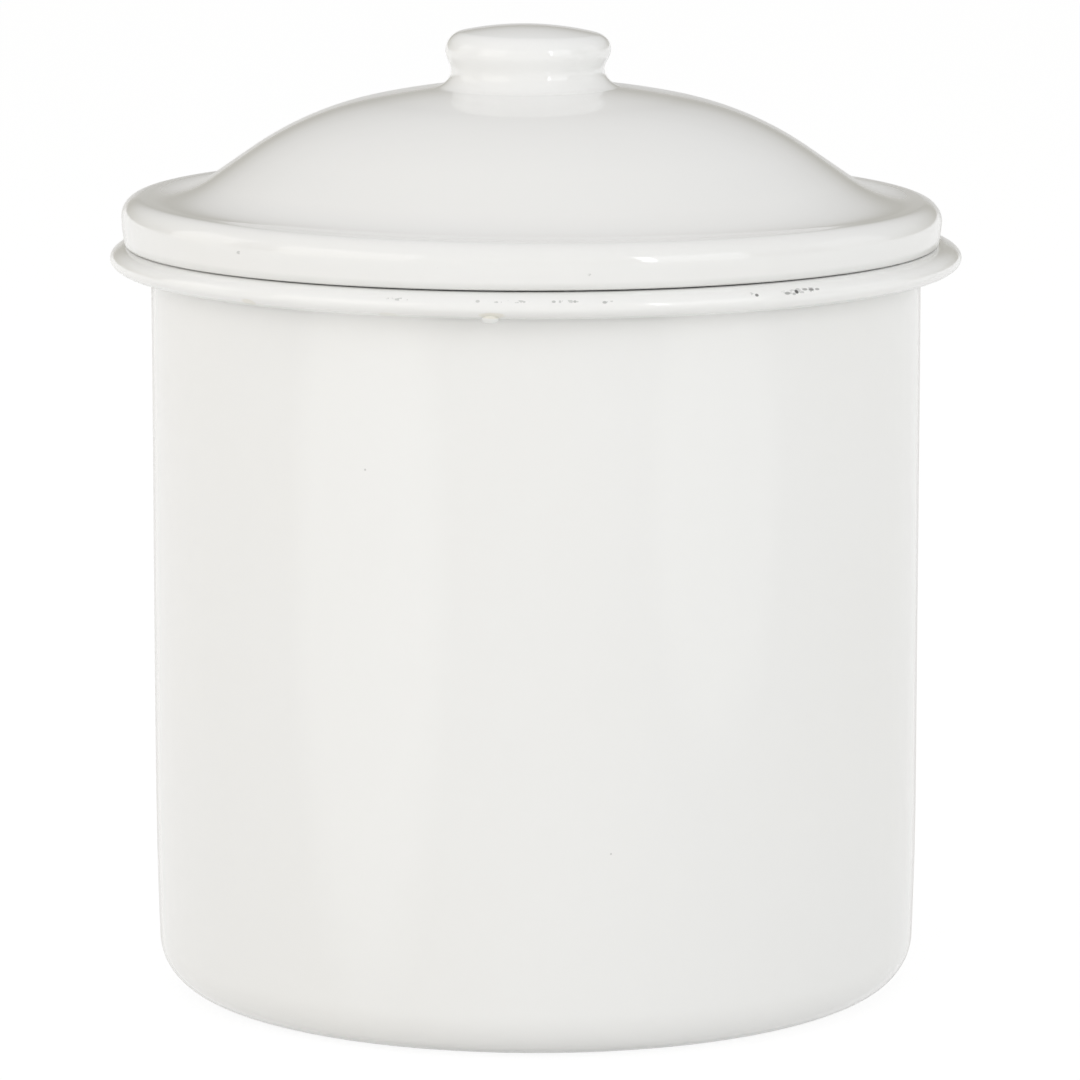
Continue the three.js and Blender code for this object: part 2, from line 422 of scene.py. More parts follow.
@dataclass(frozen=True)
class Enamel:
    """White glass enamel, fired on pressed steel.

    Attributes:
        glaze: colour of the coat.
        warm: colour where the coat has yellowed a little.
        whiter_run_and_light: whiter colour where the coat pooled, also painted light on bands made to look
            lit.
        thin_coat_and_crease_shade: thinner coat over the dark ground, and painted crease shade.
        ground: the ground coat, bare in chips and worn specks.
        stain: colour of a yellowed run.
        gloss: roughness of the clean coat.
        smear: how much duller faint smears are.
        grazing_blur: how much duller the waves make the coat where the eye grazes it.
        clouding: share of the warm colour in the clouds.
        peel: depth of the fine orange peel.
        wave: depth of the long waves in the coat.
        shift: picks another random pattern.
        wear: patches with faint worn specks.
        chips: single specks of bare ground coat.
        stains: yellowed patches.
        runs_and_lit_bands: patches where the coat pooled and is whiter, and painted lit bands.
        thin_and_shaded_rings: heights of the rings of thinner coat and of painted crease shade.
    """

    glaze: Colour = (0.872, 0.869, 0.862)
    warm: Colour = (0.87, 0.861, 0.842)
    whiter_run_and_light: Colour = (0.9, 0.897, 0.888)
    thin_coat_and_crease_shade: Colour = (0.70, 0.71, 0.69)
    ground: Colour = (0.075, 0.075, 0.07)
    stain: Colour = (0.76, 0.73, 0.62)
    gloss: float = 0.03
    smear: float = 0.03
    grazing_blur: float = 0.55
    clouding: float = 0.5
    peel: float = 0.006 * MM
    wave: float = 0.05 * MM
    shift: float = 0.0
    wear: tuple[Patch, ...] = ()
    chips: tuple[Patch, ...] = ()
    stains: tuple[Patch, ...] = ()
    runs_and_lit_bands: tuple[Patch, ...] = ()
    thin_and_shaded_rings: tuple[float, ...] = ()

    def material(self, name: str) -> bpy.types.Material:
        """Makes the material.

        Args:
            name: its name.

        Returns:
            The material, with its node tree.
        """
        made = bpy.data.materials.new(name)
        made.use_nodes = True
        graph = Graph(made.node_tree)
        place = graph.value("ShaderNodeTexCoord", "Object", {}, {})
        split = graph.node("ShaderNodeSeparateXYZ", {}, {0: place})
        right, back, height = (Value(graph, split.outputs[i]) for i in range(3))
        azimuth = graph.math("ARCTAN2", right, back * -1.0) * math.degrees(1)

        specks = self._specks(graph, place, azimuth, height)
        colour = self._colour(graph, place, azimuth, height, specks)
        shader = graph.node(
            "ShaderNodeBsdfPrincipled", {},
            {
                "Base Color": colour,
                "Roughness": self._roughness(graph, place, specks),
                "IOR": GLASS_IOR,
                "Normal": self._relief(graph, place),
            },
        )
        graph.node("ShaderNodeOutputMaterial", {}, {0: Value(graph, shader.outputs[0])})
        return made

    def _specks(self, graph: Graph, place: Value, azimuth: Value, height: Value) -> Value:
        """Mask of worn specks in the patches, and of a few pinholes everywhere."""
        cells = graph.node(
            "ShaderNodeTexVoronoi", {},
            {"Vector": place, "Scale": 1 / PINHOLE_SPACING, "Randomness": 1.0},
        )
        pick = graph.eased(Value(graph, cells.outputs["Color"]), *PINHOLE_PICK)
        pinholes = graph.eased(Value(graph, cells.outputs["Distance"]), *PINHOLE_EDGES)
        specks = pinholes * pick * PINHOLE_DEPTH
        if self.chips:
            chips = self._strongest(graph, self.chips, azimuth, height)
            specks = graph.math("MAXIMUM", specks, chips)
        if self.wear:
            worn = self._strongest(graph, self.wear, azimuth, height)
            grain = graph.noise(place, RUB_SIZE, 2.0, self.shift)
            rubbed = graph.eased(grain - (1 - worn) * RUB_FADE, *RUB_EDGES) * RUB_DEPTH
            specks = graph.math("MAXIMUM", specks, rubbed * graph.eased(worn, *WORN_EDGES))
        return specks

    @staticmethod
    def _strongest(
        graph: Graph, patches: tuple[Patch, ...], azimuth: Value, height: Value
    ) -> Value:
        """Strongest of the masks of several patches."""
        strongest = patches[0].mask(graph, azimuth, height)
        for patch in patches[1:]:
            strongest = graph.math("MAXIMUM", strongest, patch.mask(graph, azimuth, height))
        return strongest

    def _colour(
        self, graph: Graph, place: Value, azimuth: Value, height: Value, specks: Value
    ) -> Value:
        """Colour of the coat, with its clouds, rings of thinner coat and painted shade, stains and specks.
        """
        clouds = graph.eased(graph.noise(place, CLOUD_SIZE, 2.0, self.shift + 1), *CLOUD_EDGES)
        colour = graph.mixed(clouds * self.clouding, self.glaze, self.warm)
        blotches = graph.noise(place, BLOTCH_SIZE, 2.0, self.shift + 2)
        # painted shade and thinner coat: rings darkened towards the ground coat's colour by height
        for ring in self.thin_and_shaded_rings:
            away = graph.math("ABSOLUTE", height - ring)
            faded = graph.eased(away, *THIN_AND_SHADE_EDGES) * (blotches * THIN_AND_SHADE_BLOTCHES + THIN_AND_SHADE_LEAST)
            colour = graph.mixed(faded, colour, self.thin_coat_and_crease_shade)
        # pooled whiter coat, and painted light: patches lightened to look lit
        if self.runs_and_lit_bands:
            run_and_light_mask = self._strongest(graph, self.runs_and_lit_bands, azimuth, height)
            colour = graph.mixed(run_and_light_mask, colour, self.whiter_run_and_light)
        if self.stains:
            stained = self._strongest(graph, self.stains, azimuth, height)
            colour = graph.mixed(stained, colour, self.stain)
        return graph.mixed(specks, colour, self.ground)

    def _roughness(self, graph: Graph, place: Value, specks: Value) -> Value:
        """Clear gloss with faint smears, duller in the specks and where the eye grazes it."""
        smears = graph.noise(place, SMEAR_SIZE, 3.0, self.shift + 4)
        grazing = graph.value("ShaderNodeLayerWeight", "Facing", {}, {"Blend": PLAIN_FACING})
        blur = graph.eased(grazing, *GRAZING_EDGES) * self.grazing_blur
        return self.gloss + smears * self.smear + specks * SPECK_BLUR + blur

    def _relief(self, graph: Graph, place: Value) -> Value:
        """Normal of the coat: fine orange peel on long waves."""
        peel = graph.noise(place, PEEL_SIZE, 1.0, self.shift + 5) * self.peel
        wave = graph.noise(place, WAVE_SIZE, 1.0, self.shift + 6) * self.wave
        return graph.value(
            "ShaderNodeBump", "Normal", {},
            {"Strength": 1.0, "Distance": 1.0, "Height": peel + wave},
        )


# The jar and the lid


@dataclass
class Pressing:
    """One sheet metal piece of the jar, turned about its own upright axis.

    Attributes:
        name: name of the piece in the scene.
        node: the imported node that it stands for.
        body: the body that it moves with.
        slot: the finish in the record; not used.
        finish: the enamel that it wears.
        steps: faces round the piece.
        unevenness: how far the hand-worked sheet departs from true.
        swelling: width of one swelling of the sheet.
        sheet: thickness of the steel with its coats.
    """

    name: str
    node: str
    body: Body
    slot: Slot
    finish: Enamel
    steps: int = 240
    unevenness: float = 0.12 * MM
    swelling: float = 55 * MM
    sheet: float = 1.2 * MM

    def __post_init__(self) -> None:
        """Reads the node's place and size from the frame."""
        self.low, self.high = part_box(self.node)
        self.centre = (self.low + self.high) / 2
        self.radius = (self.high.y - self.low.y) / 2

    def outline(self) -> Outline:
        """Half section of the piece."""
        raise NotImplementedError

    def shape(self, bm: bmesh.types.BMesh) -> None:
        """Changes the turned mesh, still on the origin, where the real piece isn't round."""

    def build(self) -> bpy.types.Object:
        """Makes the piece, sets it in place and dresses it.

        Returns:
            The finished object.
        """
        bm = self.outline().turned(self.steps)
        self.shape(bm)
        bmesh.ops.translate(bm, verts=bm.verts, vec=(self.centre.x, self.centre.y, 0))
        self._unsettle(bm)
        piece = as_object(bm, self.name)
        piece.data.materials.append(self.finish.material(self.name))
        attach(piece, self.body.value)
        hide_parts(self.node)
        return piece

    def _unsettle(self, bm: bmesh.types.BMesh) -> None:
        """Moves the sheet sideways by a slow random amount, both faces alike."""
        second_pattern = Vector((0, 31, 0))
        for vert in bm.verts:
            place = vert.co / self.swelling + Vector((self.finish.shift, 0, 0))
            drift = Vector((noise.noise(place), noise.noise(place + second_pattern), 0))
            vert.co += drift * self.unevenness


@dataclass
class JarShell(Pressing):
    """Deep-drawn can with a pressed-up base and a rim rolled outwards into a hollow bead.

    Attributes:
        roll_reach: how far the bead stands out from the wall.
        roll_height: height of the bead.
        roll_lift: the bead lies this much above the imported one.
        seam_fillet: reach of the enamel that fills the seam under the bead.
        base_corner: outside radius between wall and base.
        base_draw_in: the wall narrows by this much towards the base corner.
        base_draw_height: height at which the narrowing starts.
        stand_ring: width of the flat ring on which the jar stands.
        panel_rise: the middle of the base is pressed up by this much.
        step_width: sloping step between the stand ring and the raised panel.
        wall_heights: heights of the points on the straight wall.
    """

    roll_reach: float = 9.5 * MM
    roll_height: float = 6.0 * MM
    roll_lift: float = 0.1 * MM
    seam_fillet: float = 0.35 * MM
    base_corner: float = 11.4 * MM
    base_draw_in: float = 0.65 * MM
    base_draw_height: float = 50 * MM
    stand_ring: float = 16 * MM
    panel_rise: float = 1.5 * MM
    step_width: float = 4 * MM
    wall_heights: tuple[float, ...] = (75 * MM, 100 * MM, 125 * MM, 150 * MM)

    def outline(self) -> Outline:
        """Outer face from the middle of the base up to the bead, and back down the inner face."""
        return self._outer_face().back(self._inner_face())

    def wall_radius(self) -> float:
        """Outside radius of the straight wall."""
        return self.radius - self.roll_reach

    def roll_middle(self) -> float:
        """Height of the bead's middle."""
        return self.high.z + self.roll_lift - self.roll_height / 2

    def _lower_wall(self, line: Outline, inset: float) -> None:
        """Draws the base, its corner and the narrowed foot of the wall on one face of the sheet."""
        wall = self.wall_radius()
        corner = Vector((wall - self.base_draw_in - self.base_corner, self.base_corner))
        ring = corner.x - self.stand_ring
        line.to(0, inset + self.panel_rise)
        line.to(ring - self.step_width, inset + self.panel_rise)
        step = ring - self.step_width / 2
        half_way = Vector((step, inset + self.panel_rise / 2))
        line.fillet(Vector((step, inset + self.panel_rise)), half_way, STEP_PIECES)
        line.fillet(Vector((step, inset)), Vector((ring, inset)), STEP_PIECES)
        bend = self.base_corner - inset
        line.arc(corner, bend, bend, DOWNWARDS, OUTWARDS, CORNER_PIECES)
        for i in range(1, SHORT_PIECES + 1):
            share = i / SHORT_PIECES
            height = self.base_corner + (self.base_draw_height - self.base_corner) * share
            line.to(wall - inset - self.base_draw_in * (1 - share) ** 2, height)

    def _outer_face(self) -> Outline:
        """Outer face, from under the base to the inner edge of the bead's top."""
        wall = self.wall_radius()
        line = Outline()
        self._lower_wall(line, 0)
        out = (self.roll_reach + self.sheet) / 2
        up = self.roll_height / 2
        centre = Vector((wall - self.sheet + out, self.roll_middle()))
        meeting = -math.acos((wall - centre.x) / out)
        seam = Vector((wall, centre.y + up * math.sin(meeting)))
        leave = meeting + self.seam_fillet / out
        for height in self.wall_heights:
            line.to(wall, height)
        line.to(wall, seam.y - self.seam_fillet)
        start = Vector((centre.x + out * math.cos(leave), centre.y + up * math.sin(leave)))
        line.fillet(seam, start, SEAM_PIECES)
        line.arc(centre, out, up, leave, INWARDS, ROLL_PIECES)
        return line

    def _inner_face(self) -> Outline:
        """Inner face, from the middle of the floor up the wall."""
        line = Outline()
        self._lower_wall(line, self.sheet)
        for height in self.wall_heights:
            line.to(self.wall_radius() - self.sheet, height)
        return line


@dataclass
class LidShell(Pressing):
    """Pressed cover: crown, flank, hollow valley, upright rim and turned-in edge.

    Attributes:
        rim_height: upright rim, from its foot to the flat land on top.
        shoulder: outside radius on top of the rim.
        foot: outside radius where the edge turns in.
        edge_lift: the turned-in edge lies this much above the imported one.
        tuck: the lower half of the rim draws in by this much.
        tuck_power: how much of that comes near the foot, 1 for an even taper.
        inner_bend: radius inside the edge's turn.
        edge_width: flat part of the turned-in edge.
        land_width: flat land between the shoulder and the valley.
        valley: radius of the hollow bend between the land and the flank.
        flank_length: straight part of the dome's side.
        flank_angle: its slope.
        dome_bend: bend between flank and crown.
        crown: radius of the nearly flat middle.
        vent: hole under the knob.
        dome_drift: the press set the dome this far to the left of the rim.
        rim_lean: the top of the rim leans over by this angle, its left side up.
        rim_sink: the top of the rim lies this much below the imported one.
        side_sag: the edge bears down this much nearer to the bead at the left and right.
        sag_reach: share of the radius at which it does so in full.
    """

    rim_height: float = 10.6 * MM
    shoulder: float = 4.6 * MM
    foot: float = 0.7 * MM
    edge_lift: float = 0.1 * MM
    tuck: float = 0.6 * MM
    tuck_power: float = 1.4
    inner_bend: float = 0.2 * MM
    edge_width: float = 3 * MM
    land_width: float = 1.9 * MM
    valley: float = 26 * MM
    flank_length: float = 10.9 * MM
    flank_angle: float = math.radians(34.7)
    dome_bend: float = 77.5 * MM
    crown: float = 181 * MM
    vent: float = 2 * MM
    dome_drift: float = 0.4 * MM
    rim_lean: float = math.radians(0.4)
    rim_sink: float = 0.2 * MM
    side_sag: float = 0.23 * MM
    sag_reach: float = 0.9

    def __post_init__(self) -> None:
        """Works out where the bends join."""
        super().__post_init__()
        self.land_height = self.low.z + self.rim_height
        self.land_outer = self.radius - self.shoulder
        self.land_inner = self.land_outer - self.land_width
        sine, cosine = math.sin(self.flank_angle), math.cos(self.flank_angle)
        self.flank_foot = Vector((
            self.land_inner - self.valley * sine, self.land_height + self.valley * (1 - cosine)
        ))
        self.bend_centre = self.flank_foot + Vector((
            -self.flank_length * cosine - self.dome_bend * sine,
            self.flank_length * sine - self.dome_bend * cosine,
        ))
        step = self.crown - self.dome_bend
        self.crown_edge = math.acos(self.bend_centre.x / step)
        self.crown_centre = Vector((0, self.bend_centre.y - step * math.sin(self.crown_edge)))

    def crown_height(self, radius: float) -> float:
        """Height of the crown's outer face at a radius."""
        return self.crown_centre.y + math.sqrt(self.crown**2 - radius**2)

    def outline(self) -> Outline:
        """Upper face from the vent hole to the turned-in edge, and back along the lower face."""
        return self._face(0).back(self._face(self.sheet))

    def _face(self, depth: float) -> Outline:
        """Path of the sheet at a depth below its upper face."""
        line = Outline()
        crown = self.crown - depth
        vent_edge = math.acos(self.vent / crown)
        line.arc(self.crown_centre, crown, crown, vent_edge, self.crown_edge, CROWN_PIECES)
        bend = self.dome_bend - depth
        flank = UPWARDS - self.flank_angle
        line.arc(self.bend_centre, bend, bend, self.crown_edge, flank, DOME_PIECES)
        valley = self.valley + depth
        valley_centre = Vector((self.land_inner, self.land_height + self.valley))
        valley_angle = DOWNWARDS - self.flank_angle
        line.arc(valley_centre, valley, valley, valley_angle, DOWNWARDS, BEND_PIECES)
        shoulder = self.shoulder - depth
        shoulder_centre = Vector((self.land_outer, self.land_height - self.shoulder))
        line.arc(shoulder_centre, shoulder, shoulder, UPWARDS, OUTWARDS, BEND_PIECES)
        bend = max(self.foot - depth, self.inner_bend)
        foot_height = self.low.z + self.edge_lift + depth + bend
        for i in range(1, SHORT_PIECES + 1):
            share = i / SHORT_PIECES
            height = shoulder_centre.y + (foot_height - shoulder_centre.y) * share
            line.to(self.radius - depth - self.tuck * share**self.tuck_power, height)
        foot_centre = Vector((self.radius - self.tuck - depth - bend, foot_height))
        line.arc(foot_centre, bend, bend, OUTWARDS, DOWNWARDS, SHORT_PIECES)
        return line.to(self.radius - self.tuck - self.foot - self.edge_width, foot_height - bend)

    def shape(self, bm: bmesh.types.BMesh) -> None:
        """Sets the dome to the left, leans the rim's top over and bends its edge down at the sides."""
        foot, shoulder = self.low.z + self.foot, self.land_height - self.shoulder / 2
        for vert in bm.verts:
            outwards = smooth_share(vert.co.to_2d().length, self.flank_foot.x, self.land_inner)
            upwards = smooth_share(vert.co.z, foot, shoulder)
            lowering = (self.rim_sink + vert.co.x * math.tan(self.rim_lean)) * upwards
            side = min(abs(vert.co.x) / (self.radius * self.sag_reach), 1) ** 2
            sagging = self.side_sag * side * (1 - upwards)
            vert.co.z -= (lowering + sagging) * outwards
            vert.co.x -= self.dome_drift * (1 - outwards)


@dataclass
class LocatingCollar(Pressing):
    """Ring welded under the lid, which drops into the mouth of the jar.

    Attributes:
        jar: the jar that it drops into.
        bend: inside radius between the wall and the weld flange.
        lead_height: tapered foot that guides the lid into the mouth.
        lead_inset: how far that foot leans inwards.
        play: all round between the collar and the mouth.
    """

    jar: JarShell | None = None
    bend: float = 1 * MM
    lead_height: float = 3 * MM
    lead_inset: float = 1.2 * MM
    play: float = 2 * MM

    def outline(self) -> Outline:
        """Inner face from the foot to the edge of the flange, and back along the outer face."""
        return self._face(0).back(self._face(self.sheet))

    def _face(self, depth: float) -> Outline:
        """Path of the sheet at a depth below its inner face."""
        outer = self.jar.wall_radius() - self.sheet - self.play
        wall = outer - self.sheet + depth
        bend = self.bend + self.sheet - depth
        centre = Vector((outer + self.bend, self.high.z - self.sheet - self.bend))
        line = Outline().to(wall - self.lead_inset, self.low.z)
        line.to(wall, self.low.z + self.lead_height)
        line.arc(centre, bend, bend, INWARDS, UPWARDS, FLANGE_PIECES)
        return line.to(self.radius, self.high.z - depth)


@dataclass
class Knob(Pressing):
    """Hollow knob with a flared foot that the enamel has flowed round.

    Attributes:
        lid: the lid that carries it.
        head: widest part of the head.
        top: radius of the slight dome on top.
        shoulder: rounded edge of the head.
        neck_inset: the neck is narrower than the head by this much all round.
        flare_height: height of the flared foot.
        flare_turn: angle through which the flare bends out.
        foot_edge: height of the foot's edge over its seat.
        feather: the enamel round the foot runs out this far on the lid.
        sink: how deep the foot's edge lies in the enamel of the lid.
        settle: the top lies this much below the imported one.
        lean: the head leans over by this angle, its left side up.
        drift: it was welded on this far to the left.
        neck_drift: and its neck lies this much further to the left.
        neck_span: foot, middle and top of the part that drifts, as shares of the knob's height.
        lean_top: share of its height at which it leans in full.
    """

    lid: LidShell | None = None
    head: float = 19.3 * MM
    top: float = 72 * MM
    shoulder: float = 4.3 * MM
    neck_inset: float = 1.4 * MM
    flare_height: float = 3.7 * MM
    flare_turn: float = 0.8 * QUARTER
    foot_edge: float = 0.4 * MM
    # feather: the enamel round the foot spreads out this far on the lid.
    feather: float = 1.4 * MM
    sink: float = 0.12 * MM
    settle: float = 0.28 * MM
    lean: float = math.radians(1.0)
    drift: float = 0.75 * MM
    neck_drift: float = 0.38 * MM
    neck_span: tuple[float, float, float] = (0.1, 0.42, 0.75)
    lean_top: float = 0.6

    def __post_init__(self) -> None:
        """Works out the neck and the heights of the bends."""
        super().__post_init__()
        self.neck = self.head - self.neck_inset
        self.flare_top = self.low.z + self.foot_edge + self.flare_height

    def outline(self) -> Outline:
        """Outer face from the top down to the foot, the seat, and back up the inner face."""
        line = self._head(0)
        flare_width = self.radius - self.neck
        drop = self.flare_top - self.lid.crown_height(self.radius)
        flare_centre = Vector((self.radius, self.flare_top))
        flare_end = INWARDS + self.flare_turn
        line.arc(flare_centre, flare_width, drop, INWARDS, flare_end, NECK_PIECES)
        corner = Vector((self.radius - self.foot_edge, self.lid.crown_height(self.radius)))
        edge = self.radius + self.feather
        edge_point = Vector((edge, self.lid.crown_height(edge) - self.sink))
        line.fillet(corner, edge_point, SHORT_PIECES)
        seat = self.neck - self.sheet
        line.to(seat, self.lid.crown_height(seat) - self.sink)
        return line.back(self._head(self.sheet))

    def _head(self, depth: float) -> Outline:
        """Path of the head and neck at a depth below the outer face."""
        summit = self.high.z - self.settle
        top_centre = Vector((0, summit - self.top))
        shoulder_out = self.head - self.shoulder
        reach = self.top - self.shoulder
        edge = math.acos(shoulder_out / reach)
        shoulder_centre = Vector((shoulder_out, top_centre.y + reach * math.sin(edge)))
        top, shoulder = self.top - depth, self.shoulder - depth
        line = Outline().to(0, summit - depth)
        line.arc(top_centre, top, top, UPWARDS - AXIS_GAP, edge, TOP_PIECES)
        line.arc(shoulder_centre, shoulder, shoulder, edge, OUTWARDS, BEND_PIECES)
        for i in range(1, NECK_PIECES + 1):
            share = i / NECK_PIECES
            inset = self.neck_inset * (1 - math.cos(math.pi * share)) / 2
            height = shoulder_centre.y + (self.flare_top - shoulder_centre.y) * share
            line.to(self.head - depth - inset, height)
        return line

    def shape(self, bm: bmesh.types.BMesh) -> None:
        """Leans the head over, with the foot left on its seat, and moves the knob to the left."""
        rise = self.high.z - self.low.z
        seat = Vector((0, 0, self.low.z))
        start, middle, end = self.neck_span
        for vert in bm.verts:
            share = (vert.co.z - self.low.z) / rise
            neck = smooth_share(share, start, middle) * (1 - smooth_share(share, middle, end))
            turn = Matrix.Rotation(self.lean * smooth_share(share, 0, self.lean_top), 3, "Y")
            vert.co = turn @ (vert.co - seat) + seat
            vert.co.x -= self.drift + self.neck_drift * neck


@dataclass
class EnamelDrip:
    """Bead of enamel that ran down the rolled rim and froze under it in the kiln.

    Attributes:
        jar: the jar that it hangs from.
        finish: the enamel that it is made of.
        azimuth: place round the jar, in degrees, 0 at the front and 90 on the right.
        half_width: half of its width along the rim.
        half_height: half of its height.
        half_depth: half of its depth.
        below: its middle lies this far under the middle of the rolled rim.
        inwards: and this far inside the edge of the rolled rim.
        taper: it is drawn thinner towards the rim by this share.
        segments: faces round it.
        rings: faces from its foot to its top.
    """

    jar: JarShell
    finish: Enamel
    azimuth: float = -5.9
    half_width: float = 1.85 * MM
    half_height: float = 1.25 * MM
    half_depth: float = 1.3 * MM
    below: float = 2.5 * MM
    inwards: float = 2.3 * MM
    taper: float = 0.25
    segments: int = 40
    rings: int = 24
    name: str = "enamel_drip"

    def build(self) -> bpy.types.Object:
        """Makes the drip from a round drop, drawn narrower towards the rim.

        Returns:
            The finished object.
        """
        bm = bmesh.new()
        bmesh.ops.create_uvsphere(bm, u_segments=self.segments, v_segments=self.rings, radius=1)
        for vert in bm.verts:
            vert.co.x *= 1 - self.taper * vert.co.z
        size = (self.half_width, self.half_depth, self.half_height)
        bmesh.ops.scale(bm, verts=bm.verts, vec=size)
        place = Vector((0, self.inwards - self.jar.radius, self.jar.roll_middle() - self.below))
        bmesh.ops.translate(bm, verts=bm.verts, vec=place)
        turn = Matrix.Rotation(math.radians(self.azimuth), 3, "Z")
        bmesh.ops.rotate(bm, verts=bm.verts, cent=(0, 0, 0), matrix=turn)
        piece = as_object(bm, self.name)
        piece.data.materials.append(self.finish.material(self.name))
        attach(piece, self.jar.body.value)
        return piece


# The studio

WATTS_PER_BRIGHTNESS = 4.0  # lamp power for a square metre of radiance 1


@dataclass(frozen=True)
class Viewpoint:
    """The photograph's camera.

    Attributes:
        side: how far it stands to the right of the jar's axis.
        distance: how far in front of the axis.
        height: above the table.
        down: how far it looks down, in degrees.
        lens: focal length in millimetres on a sensor of the width below.
        sensor: width of the sensor in millimetres.
    """

    side: float = 0.95 * MM
    distance: float = 1520.2 * MM
    height: float = 355.4 * MM
    down: float = 9.365
    lens: float = 217.77
    sensor: float = 36.0

    def place(self) -> None:
        """Makes the camera and gives it to the scene."""
        data = bpy.data.cameras.new("camera")
        data.lens = self.lens
        data.sensor_width = self.sensor
        camera = bpy.data.objects.new("camera", data)
        camera.location = (self.side, -self.distance, self.height)
        camera.rotation_euler = (QUARTER - math.radians(self.down), 0, 0)
        bpy.context.scene.collection.objects.link(camera)
        bpy.context.scene.camera = camera


@dataclass(frozen=True)
class Softbox:
    """Soft rectangular lamp, aimed at the middle of the jar.

    Attributes:
        name: name of the lamp.
        azimuth: where it stands, in degrees, 0 towards the camera and 90 on the right.
        elevation: in degrees over the horizon.
        distance: from the middle of the jar.
        width: of its face.
        height: of its face.
        brightness: radiance of its face, where 1 is white.
        colour: its tint.
    """

    name: str
    azimuth: float
    elevation: float
    distance: float
    width: float
    height: float
    brightness: float
    colour: Colour = WHITE

    def place(self, aim: Vector) -> None:
        """Makes the lamp, which the camera doesn't see.

        Args:
            aim: the point that it faces.
        """
        data = bpy.data.lights.new(self.name, "AREA")
        data.shape = "RECTANGLE"
        data.size = self.width
        data.size_y = self.height
        data.energy = self.brightness * self.width * self.height * WATTS_PER_BRIGHTNESS
        data.color = self.colour
        lamp = bpy.data.objects.new(self.name, data)
        side, rise = math.radians(self.azimuth), math.radians(self.elevation)
        away = Vector((
            math.sin(side) * math.cos(rise), -math.cos(side) * math.cos(rise), math.sin(rise)
        ))
        lamp.location = aim + away * self.distance
        lamp.rotation_euler = away.to_track_quat("Z", "Y").to_euler()
        lamp.visible_camera = False
        bpy.context.scene.collection.objects.link(lamp)


@dataclass(frozen=True)
class Studio:
    """Pale floor, walls and ceiling as a world, and the lamps.

    Attributes:
        floor_radius: half width of the floor.
        floor_sides: number of sides of the floor's edge.
        floor_colour: its paint.
        backdrop: share of plain white that the eye and the gloss see of the floor.
        backdrop_glow: brightness of that white, which makes up for the paint's own share.
        aim: height of the point that the lamps face.
        lamps: the softboxes.
        walls: brightness of the room by the sine of the height over the horizon.
    """

    floor_radius: float = 9.0
    floor_sides: int = 96
    floor_colour: Colour = (0.86, 0.86, 0.855)
    backdrop: float = 0.85
    backdrop_glow: float = 1.07
    aim: float = 0.11
    lamps: tuple[Softbox, ...] = (
        Softbox("key_softbox", -53, 19, 1.7, 1.25, 1.1, 1.18, (1.0, 0.985, 0.955)),
        Softbox("broad_softbox", -4, 18, 2.2, 2.4, 1.0, 0.33),
        Softbox("fill_softbox", 46.5, 19, 1.9, 1.05, 1.15, 1.3, (0.945, 0.975, 1.0)),
        Softbox("window_strip", 32.5, 20, 2.1, 0.15, 1.0, 4.6, (0.96, 0.98, 1.0)),
        Softbox("left_side_softbox", -104, 20, 1.9, 0.9, 1.1, 0.85, (1.0, 0.995, 0.98)),
        Softbox("right_side_softbox", 104, 20, 1.9, 0.9, 1.1, 0.45, (0.97, 0.985, 1.0)),
    )
    walls: tuple[tuple[float, Colour], ...] = (
        (0.0, (1.0, 1.0, 0.995)),
        (0.01, (0.995, 0.995, 0.99)),
        (0.03, (0.86, 0.86, 0.85)),
        (0.056, (0.235, 0.215, 0.15)),
        (0.165, (0.235, 0.22, 0.165)),
        (0.3, (0.44, 0.43, 0.405)),
        (0.6, (0.66, 0.66, 0.655)),
        (1.0, (0.775, 0.775, 0.78)),
    )

    def build(self) -> None:
        """Makes the floor, the world and the lamps, and sets plain colours for the view."""
        self._floor()
        self._world()
        for lamp in self.lamps:
            lamp.place(Vector((0, 0, self.aim)))
        bpy.context.scene.view_settings.view_transform = "Standard"

    def _floor(self) -> None:
        """Round pale floor that keeps the jar's shadow."""
        bm = bmesh.new()
        bmesh.ops.create_circle(
            bm, cap_ends=True, segments=self.floor_sides, radius=self.floor_radius
        )
        floor = as_object(bm, "floor")
        paint = bpy.data.materials.new("floor_paint")
        paint.use_nodes = True
        graph = Graph(paint.node_tree)
        matt = graph.value("ShaderNodeBsdfDiffuse", 0, {}, {"Color": self.floor_colour})
        white = graph.value(
            "ShaderNodeEmission", 0, {}, {"Color": WHITE, "Strength": self.backdrop_glow}
        )
        path = graph.node("ShaderNodeLightPath", {}, {})
        rays = ("Is Camera Ray", "Is Glossy Ray", "Is Transmission Ray")
        camera, glossy, transmission = (Value(graph, path.outputs[ray]) for ray in rays)
        seen = graph.math("MAXIMUM", graph.math("MAXIMUM", camera, glossy), transmission)
        mixed = graph.value(
            "ShaderNodeMixShader", 0, {}, {0: seen * self.backdrop, 1: matt, 2: white}
        )
        graph.node("ShaderNodeOutputMaterial", {}, {0: mixed})
        floor.data.materials.append(paint)

    def _world(self) -> None:
        """White horizon, a dark band over it and a pale ceiling."""
        world = bpy.data.worlds.new("room")
        world.use_nodes = True
        bpy.context.scene.world = world
        graph = Graph(world.node_tree)
        direction = graph.value("ShaderNodeTexCoord", "Generated", {}, {})
        rise = graph.value("ShaderNodeSeparateXYZ", 2, {}, {0: direction})
        ramp = graph.value("ShaderNodeValToRGB", "Color", {"stops": list(self.walls)}, {0: rise})
        light = graph.value("ShaderNodeBackground", 0, {}, {"Color": ramp, "Strength": 1.0})
        graph.node("ShaderNodeOutputWorld", {}, {0: light})


# Finishes of this jar

